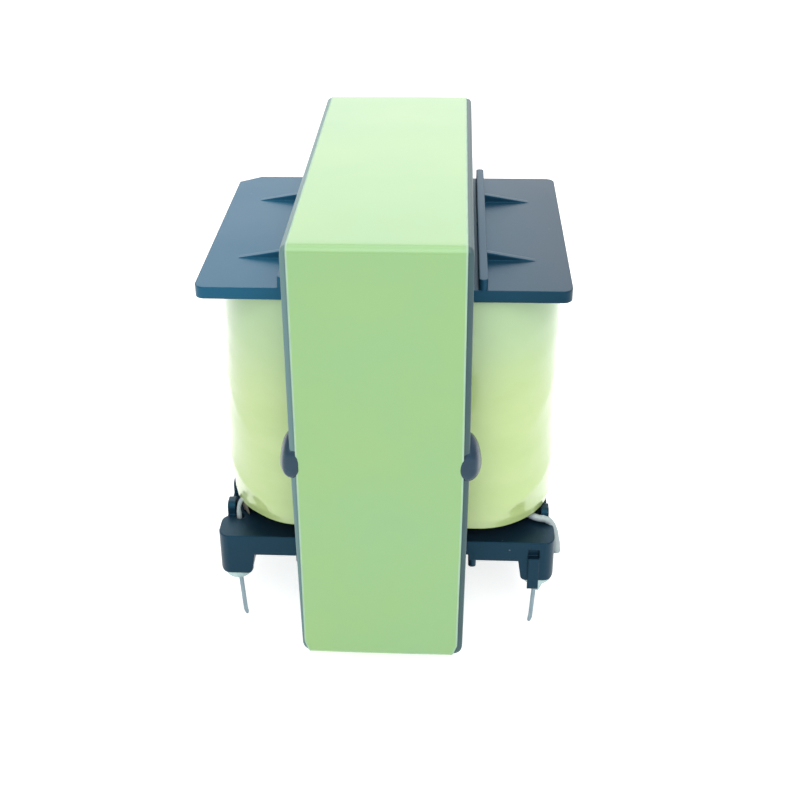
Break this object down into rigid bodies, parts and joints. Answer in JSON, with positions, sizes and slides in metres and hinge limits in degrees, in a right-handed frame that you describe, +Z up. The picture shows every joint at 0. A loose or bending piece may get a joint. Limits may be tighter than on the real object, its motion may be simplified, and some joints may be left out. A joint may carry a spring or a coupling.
{
  "type": "pcb transformer",
  "caption": "Board-mounted power transformer: taped ferrite E core round a moulded bobbin with wrapped windings, lead-outs and solder pins.",
  "frame": {"origin": "centre of the footprint, in the plane of the pin tips", "axes": "+X across the core's thickness, +Y along the core's width, with the chamfer that marks the first pin at -X +Y, +Z up along the winding's axis"},
  "size_m": [0.0466, 0.0556, 0.0584],
  "materials": {
    "bobbin_plastic": "moulded, satin",
    "ferrite": "sintered and ground, dull",
    "core_tape": "thin polyester tape over dark ferrite, semi-gloss",
    "wrap_tape": "polyester tape, glossy with soft wrinkles",
    "layer_tape": "polyester tape",
    "margin_tape": "creped margin tape",
    "winding_copper": "enamelled copper wire",
    "lead_copper": "enamelled copper wire",
    "sleeve": "extruded sleeve, satin",
    "tinned_pin": "drawn wire, tin plated",
    "solder": "cold solder, satin",
    "epoxy": "cured epoxy bead, glossy"
  },
  "bodies": {
    "root": {"bobbin": "bobbin_plastic", "core_upper": "ferrite", "core_lower": "ferrite", "core_tape": "core_tape", "primary_inner": "winding_copper", "insulation_inner": "layer_tape", "secondary": "winding_copper", "insulation_outer": "layer_tape", "primary_outer": "winding_copper", "margin_tape_lower": "margin_tape", "margin_tape_upper": "margin_tape", "winding_wrap": "wrap_tape", "pin_front_left": "tinned_pin", "pin_front_right": "tinned_pin", "pin_back_left": "tinned_pin", "pin_back_right": "tinned_pin", "solder_front_left": "solder", "solder_front_right": "solder", "solder_back_left": "solder", "solder_back_right": "solder", "lead_front_left": "lead_copper", "lead_front_right": "lead_copper", "lead_back_left": "lead_copper", "lead_back_right": "lead_copper", "sleeve_front_left": "sleeve", "sleeve_front_right": "sleeve", "sleeve_back_left": "sleeve", "sleeve_back_right": "sleeve", "glue_front_left": "epoxy", "glue_front_right": "epoxy", "glue_back_left": "epoxy", "glue_back_right": "epoxy"}
  },
  "joints": []
}
